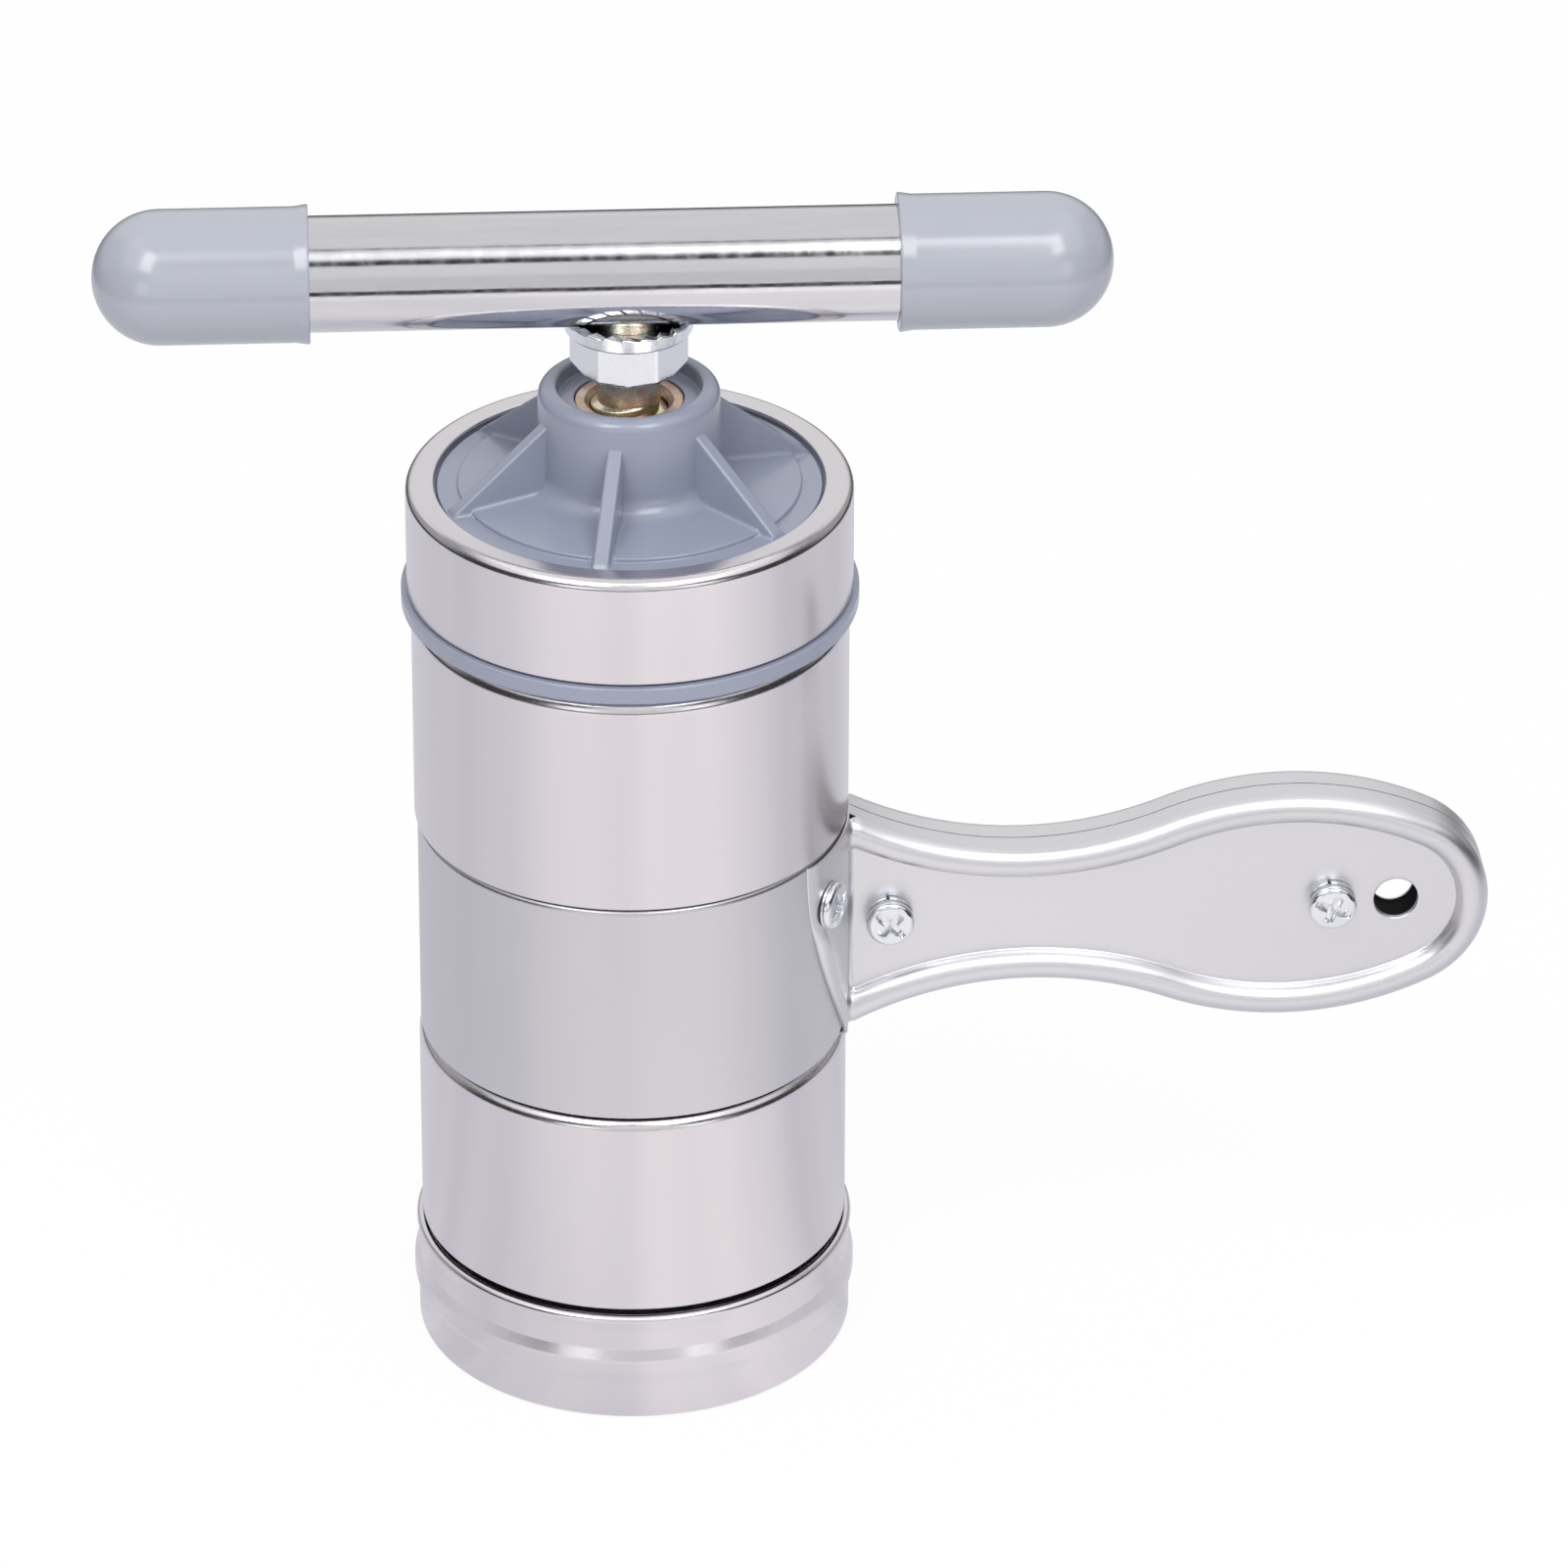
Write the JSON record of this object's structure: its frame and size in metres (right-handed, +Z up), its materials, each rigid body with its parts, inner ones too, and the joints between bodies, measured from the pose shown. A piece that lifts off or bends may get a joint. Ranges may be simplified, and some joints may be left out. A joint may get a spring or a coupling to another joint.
{
  "type": "hand crank noodle press",
  "caption": "Steel tube press with a side handle, a screw-on lid carrying a cranked screw and pusher, and a pierced die in a screw-on collar.",
  "frame": {"origin": "on the barrel's axis, in the plane of the collar's foot that the press stands on", "axes": "+Z up along the barrel's axis, +X along the handle, -Y the side that the handle's screw heads face"},
  "size_m": [0.2196, 0.0718, 0.1988],
  "materials": {
    "polished_steel": "polished stainless sheet",
    "satin_steel": "satin stainless sheet",
    "fastener_steel": "bright zinc plate",
    "yellow_zinc": "yellow passivated zinc plate on steel",
    "grey_moulding": "semi-gloss moulded plastic",
    "grey_ring": "satin moulded plastic"
  },
  "bodies": {
    "barrel": {"press_tube": "polished_steel", "lower_sleeve": "polished_steel", "middle_band": "satin_steel", "upper_sleeve": "polished_steel", "tapped_strip": "satin_steel", "handle_front_shell": "polished_steel", "handle_back_shell": "polished_steel", "handle_screws": "fastener_steel", "handle_washers": "fastener_steel", "handle_spacers": "fastener_steel", "handle_nuts": "fastener_steel", "foot_screws": "fastener_steel", "foot_washers": "fastener_steel"},
    "seat_ring": {"lid_gasket": "grey_ring"},
    "lid": {"lid_shell": "polished_steel", "lid_insert": "grey_moulding", "lead_nut": "yellow_zinc"},
    "pusher": {"pusher_plate": "polished_steel"},
    "crank": {"spindle": "yellow_zinc", "thrust_washer": "yellow_zinc", "spindle_end_nut": "yellow_zinc", "flange_nut": "yellow_zinc", "crank_bar": "polished_steel", "bar_cross_nut": "yellow_zinc", "left_cap": "grey_moulding", "right_cap": "grey_moulding"},
    "die": {"die_disc": "satin_steel"},
    "collar": {"collar_shell": "polished_steel", "collar_thread_ring": "satin_steel"}
  },
  "joints": [
    {"name": "lid_lift", "type": "slide", "parent": "barrel", "child": "seat_ring", "axis": [0, 0, 1], "range_m": [0, 0.15]},
    {"name": "lid_turn", "type": "hinge", "parent": "seat_ring", "child": "lid", "pos_m": [0, 0, 0.14], "axis": [0, 0, 1], "range_deg": [0, 1080]},
    {"name": "pusher_travel", "type": "slide", "parent": "lid", "child": "pusher", "axis": [0, 0, 1], "range_m": [0, 0.132]},
    {"name": "crank_turn", "type": "hinge", "parent": "pusher", "child": "crank", "pos_m": [0, 0, 0.168], "axis": [0, 0, 1], "range_deg": [0, 15840]},
    {"name": "collar_drop", "type": "slide", "parent": "barrel", "child": "die", "axis": [0, 0, -1], "range_m": [0, 0.03]},
    {"name": "collar_turn", "type": "hinge", "parent": "die", "child": "collar", "pos_m": [0, 0, 0.01], "axis": [0, 0, -1], "range_deg": [0, 1080]}
  ],
  "couplings": [
    {"joint": "pusher_travel", "follows": "crank_turn", "m_per_rad": 0.00047746}
  ]
}
